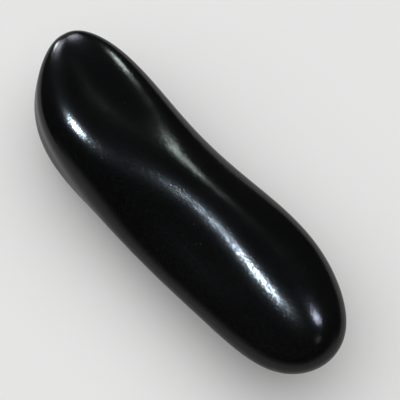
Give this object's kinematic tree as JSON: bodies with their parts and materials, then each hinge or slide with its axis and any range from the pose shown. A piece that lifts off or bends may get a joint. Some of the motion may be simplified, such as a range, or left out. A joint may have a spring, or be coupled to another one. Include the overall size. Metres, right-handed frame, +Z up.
{
  "type": "massage stone",
  "caption": "Long polished basalt massage stone with a narrow flattened head, two soft ridges, a slight waist and a round tail.",
  "frame": {"origin": "centre of the bounding box's underside, on the worn flat that the stone rests on", "axes": "+X from the narrow head to the round tail, along the length; +Y across the width; +Z up, through the thickness"},
  "size_m": [0.115, 0.036, 0.0243],
  "materials": {
    "stone": "polished black basalt, near-mirror on the ridges and ends and fine-grained satin between them"
  },
  "bodies": {
    "root": {"massage_stone": "stone"}
  },
  "joints": []
}
